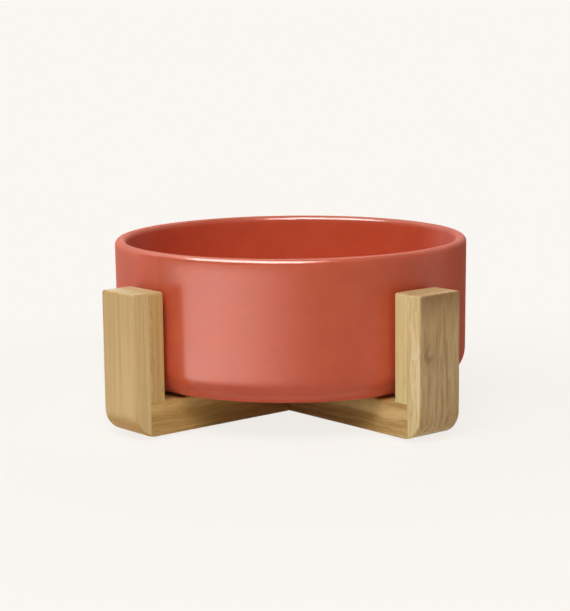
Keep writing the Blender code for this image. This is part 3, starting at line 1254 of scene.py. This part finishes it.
    def build_pads(self, rubber: GrainyFinish) -> Object:
        """Turn the four pads, without any wobble.

        Args:
            rubber: their finish.

        Returns:
            The pads, as one piece.
        """
        low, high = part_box(f"pad_{Arm.front_right.name}")
        radius = (high[0] - low[0]) / 2
        height = high[2] - low[2]
        ease = self.pad_ease
        corners = [
            (0.0, 0.0),
            *arc((radius - ease, ease), (ease, ease), (-90, 0), self.pad_facet),
            *arc((radius - ease, height - ease), (ease, ease), (0, 90), self.pad_facet),
            (0.0, height),
        ]
        pads = profile_object("pads_rubber", corners, radius / 2, low[2])
        inputs = {
            "Turned Steps": self.pad_steps,
            "Wobble": 0.0,
            "Wobble Size": 1.0,
            "Weld Distance": SAME_PLACE,
            "Arms": len(Arm),
            "Pad Distance": (low[0] + high[0]) / 2,
            "Rubber": rubber.material(),
        }
        grow(pads, pad_ring_tree(), inputs)
        smooth_between_edges(pads)
        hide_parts(*(f"pad_{arm.name}" for arm in Arm))
        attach(pads, "stand")
        return pads

    def dress_dowels(self, wood: Bamboo) -> None:
        """Give the hidden dowels, which keep their solids, a wooden finish.

        Args:
            wood: their finish.
        """
        for arm in Arm:
            material = wood.material(arm, Grain.upright)
            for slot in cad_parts[f"dowel_{arm.name}"].material_slots:
                slot.material = material

    def build(self) -> list[Object]:
        """Make the whole stand.

        Returns:
            Its pieces.
        """
        bottom = self.sizes.bottom
        top = self.sizes.bar_top
        middle = (bottom + top) / 2
        upper_half = (middle - self.seam / 2, top + self.spare)
        lower_half = (bottom - self.spare, middle + self.seam / 2)
        lower_arms = (Arm.front_right, Arm.back_left)
        upper_arms = (Arm.back_right, Arm.front_left)
        pieces = [
            self.build_bar("bar_lower", lower_arms, upper_half, LOWER_BAR_WOOD_PAINTED_LIGHTER),
            self.build_bar("bar_upper", upper_arms, lower_half, UPPER_BAR_WOOD),
        ]
        for arm in Arm:
            # The front right post gets its knot and stain, and lighter woods with darker outer faces and
            # tops as painted light and shade.
            knotted = arm is Arm.front_right
            pieces.append(self.build_ply(Ply.outer, arm, KNOTTED_OUTER_WOOD_PAINTED_LIGHT if knotted else OUTER_WOOD))
            pieces.append(self.build_ply(Ply.inner, arm, INNER_WOOD_PAINTED_LIGHTER if knotted else INNER_WOOD))
        pieces.append(self.build_pads(RUBBER))
        self.dress_dowels(DOWEL_WOOD)
        return pieces


def direction(bearing: float, elevation: float) -> Vector:
    """Give the direction of a lamp or the camera, seen from the bowl.

    Args:
        bearing: its turn about Z in degrees, from the side that faces -Y.
        elevation: its angle above the floor in degrees.

    Returns:
        The direction, of length 1.
    """
    turn = math.radians(bearing)
    rise = math.radians(elevation)
    return Vector((math.sin(turn) * math.cos(rise), -math.cos(turn) * math.cos(rise), math.sin(rise)))


def emptied_bench(owner: Material | World) -> NodeBench:
    """Clear the nodes of a material or a world, to make new ones.

    Args:
        owner: the material or world.

    Returns:
        A bench for its nodes.
    """
    owner.use_nodes = True
    owner.node_tree.nodes.clear()
    return NodeBench(owner.node_tree)


@dataclass(frozen=True)
class Softbox:
    """A flat soft lamp that faces the bowl, with its bearing from the camera in degrees."""

    name: str
    bearing: float
    elevation: float
    distance: float
    width: float
    height: float
    power: float
    on_shade: bool = True
    on_gloss: bool = True


@dataclass
class Studio:
    """The pale floor, the pale surroundings and the soft lamps.

    The bright sheet gives the glaze its soft window of light. Its glow is listed by the
    bearing from the camera in degrees.
    """

    pale: Colour = (0.956, 0.930, 0.888)
    floor_bounce: Colour = (0.900, 0.880, 0.845)
    floor_reach: float = 6.0
    floor_drop: float = 0.0001
    shadow_share: float = 0.12
    shadow_near: float = 0.12
    shadow_far: float = 0.30
    ambient: float = 0.12
    aim_height: float = 0.040
    softboxes: tuple[Softbox, ...] = (
        Softbox("key", -60.0, 50.0, 1.00, 0.55, 0.55, 0.6),
        Softbox("side", -112.0, 40.0, 1.00, 0.55, 0.55, 1.3, on_gloss=False),
        Softbox("front", -12.0, 53.0, 1.00, 0.55, 0.55, 6.3),
        Softbox("back_fill", 178.0, 25.0, 1.00, 0.60, 0.60, 3.0),
        Softbox("lip_shine", -38.0, 62.0, 1.00, 1.20, 0.60, 78.0, on_shade=False),
    )
    sheet_start: float = 0.100
    sheet_full: float = 0.130
    sheet_end: float = 0.900
    sheet_lift: float = 0.0006
    sheet_step: int = 4
    sheet_glow: tuple[Pair, ...] = (
        (-88, 0.0),
        (-80, 0.7),
        (-72, 3.6),
        (-64, 6.2),
        (-44, 7.4),
        (-28, 5.8),
        (-12, 3.4),
        (0, 1.3),
        (12, 0.0),
    )

    def seen(self, bench: NodeBench) -> NodeSocket:
        """Give 1 where the camera, a reflection or a clear material looks, else 0."""
        path = bench.add("ShaderNodeLightPath").outputs
        return bench.largest(path[f"Is {way} Ray"] for way in ("Camera", "Glossy", "Transmission"))

    def build_world(self) -> None:
        """Make the surroundings: pale where they are seen, and a plain soft light elsewhere."""
        world = bpy.data.worlds.new("studio")
        bpy.context.scene.world = world
        bench = emptied_bench(world)
        light = bench.make("ShaderNodeBackground", {"Color": (*WHITE, 1.0), "Strength": self.ambient})
        view = bench.make("ShaderNodeBackground", {"Color": (*self.pale, 1.0), "Strength": 1.0})
        mix = bench.make("ShaderNodeMixShader", {0: self.seen(bench), 1: light, 2: view})
        bench.add("ShaderNodeOutputWorld", {0: mix})

    def floor_material(self) -> Material:
        """Make the floor's finish, which keeps a faint shadow near the stand.

        Returns:
            The material.
        """
        material = bpy.data.materials.new("studio_floor")
        bench = emptied_bench(material)
        away = bench.length(bench.add("ShaderNodeTexCoord").outputs["Object"])
        share = bench.fade(away, self.shadow_near, self.shadow_far, self.shadow_share, 0.0)
        bounce = bench.make("ShaderNodeBsdfDiffuse", {"Color": (*self.floor_bounce, 1.0)})
        matt = bench.make("ShaderNodeBsdfDiffuse", {"Color": (*self.pale, 1.0)})
        glow = bench.make("ShaderNodeEmission", {"Color": (*self.pale, 1.0), "Strength": 1.0})
        shown = bench.make("ShaderNodeMixShader", {0: share, 1: glow, 2: matt})
        mix = bench.make("ShaderNodeMixShader", {0: self.seen(bench), 1: bounce, 2: shown})
        bench.add("ShaderNodeOutputMaterial", {0: mix})
        return material

    def build_floor(self) -> None:
        """Lay the floor just under the pads."""
        mesh = bpy.data.meshes.new("floor")
        reach = self.floor_reach
        corners = [(-reach, -reach), (reach, -reach), (reach, reach), (-reach, reach)]
        mesh.from_pydata([(x, y, -self.floor_drop) for x, y in corners], [], [(0, 1, 2, 3)])
        mesh.materials.append(self.floor_material())
        add_object("floor", mesh)

    def build_lamps(self) -> None:
        """Hang the soft lamps round the bowl."""
        aim = Vector((0.0, 0.0, self.aim_height))
        for box in self.softboxes:
            lamp = bpy.data.lights.new(box.name, "AREA")
            lamp.shape = "RECTANGLE"
            lamp.size = box.width
            lamp.size_y = box.height
            lamp.energy = box.power
            holder = bpy.data.objects.new(box.name, lamp)
            towards = direction(CAMERA_BEARING + box.bearing, box.elevation)
            holder.location = aim + towards * box.distance
            holder.rotation_euler = towards.to_track_quat("Z", "Y").to_euler()
            holder.visible_camera = False
            holder.visible_diffuse = box.on_shade
            holder.visible_glossy = box.on_gloss
            bpy.context.scene.collection.objects.link(holder)

    def glow_at(self, bearing: float) -> float:
        """Read how bright the sheet is in one direction.

        Args:
            bearing: the direction's bearing from the camera in degrees.

        Returns:
            The brightness.
        """
        stretches = zip(self.sheet_glow, self.sheet_glow[1:])
        (first, low), (last, high) = next(ends for ends in stretches if bearing <= ends[1][0])
        return low + (high - low) * ((bearing - first) / (last - first))

    def sheet_material(self) -> Material:
        """Make the sheet's finish, which glows and hides nothing.

        Returns:
            The material.
        """
        material = bpy.data.materials.new("bright_sheet")
        bench = emptied_bench(material)
        glow = bench.add("ShaderNodeAttribute", attribute_name="glow").outputs["Fac"]
        light = bench.make("ShaderNodeEmission", {"Strength": glow})
        clear = bench.make("ShaderNodeBsdfTransparent")
        both = bench.make("ShaderNodeAddShader", {0: light, 1: clear})
        bench.add("ShaderNodeOutputMaterial", {0: both})
        return material

    def build_sheet(self) -> None:
        """Lay the bright sheet, which only a reflection sees, over the floor."""
        rings = ((self.sheet_start, 0.0), (self.sheet_full, 1.0), (self.sheet_end, 1.0))
        bearings = range(self.sheet_glow[0][0], self.sheet_glow[-1][0] + 1, self.sheet_step)
        places = []
        glows = []
        for radius, share in rings:
            for bearing in bearings:
                place = direction(CAMERA_BEARING + bearing, 0.0) * radius
                places.append((place.x, place.y, self.sheet_lift))
                glows.append(share * self.glow_at(bearing))
        around = len(bearings)
        faces = []
        for ring in range(len(rings) - 1):
            for here in range(ring * around, ring * around + around - 1):
                faces.append((here, here + 1, here + 1 + around, here + around))
        mesh = bpy.data.meshes.new("bright_sheet")
        mesh.from_pydata(places, [], faces)
        mesh.attributes.new("glow", "FLOAT", "POINT").data.foreach_set("value", glows)
        mesh.materials.append(self.sheet_material())
        sheet = add_object("bright_sheet", mesh)
        sheet.visible_camera = False
        sheet.visible_diffuse = False
        sheet.visible_transmission = False
        sheet.visible_shadow = False

    def build(self) -> None:
        """Make the whole studio."""
        self.build_world()
        self.build_floor()
        self.build_sheet()
        self.build_lamps()
        bpy.context.scene.view_settings.view_transform = "Standard"


@dataclass(frozen=True)
class StudioCamera:
    """The camera that looks at the bowl from a little above, between two posts."""

    bearing: float = CAMERA_BEARING
    elevation: float = 9.713
    roll: float = -0.6
    distance: float = 0.8422
    aim_height: float = 0.04117
    lens: float = 111.32
    sensor: float = 36.0
    shift_right: float = -0.0104
    shift_up: float = 0.01545

    def build(self) -> None:
        """Set the camera up."""
        turn = math.radians(self.bearing)
        roll = math.radians(self.roll)
        back = direction(self.bearing, self.elevation)
        right = Vector((math.cos(turn), math.sin(turn), 0.0))
        up = back.cross(right)
        rolled_right = math.cos(roll) * right + math.sin(roll) * up
        rolled_up = math.cos(roll) * up - math.sin(roll) * right
        camera = bpy.data.cameras.new("studio_camera")
        camera.sensor_width = self.sensor
        camera.lens = self.lens
        camera.shift_x = self.shift_right
        camera.shift_y = self.shift_up
        holder = bpy.data.objects.new("studio_camera", camera)
        turned = Matrix((rolled_right, rolled_up, back)).transposed().to_4x4()
        place = Matrix.Translation(Vector((0.0, 0.0, self.aim_height)) + back * self.distance)
        holder.matrix_world = place @ turned
        bpy.context.scene.collection.objects.link(holder)
        bpy.context.scene.camera = holder


def main() -> None:
    """Build the stand, the bowl, the studio and the camera in order, and report the pieces."""
    logging.basicConfig(level=logging.INFO, format="%(message)s")
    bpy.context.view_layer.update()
    pieces = BambooStand(StandSizes.from_frame()).build()
    pieces.append(GlazedBowl().build(CoralGlaze(), BARE_CLAY))
    for piece in pieces:
        LOG.info("%s: %d faces", piece.name, len(piece.data.polygons))
    Studio().build()
    StudioCamera().build()


if __name__ == "__main__":
    main()
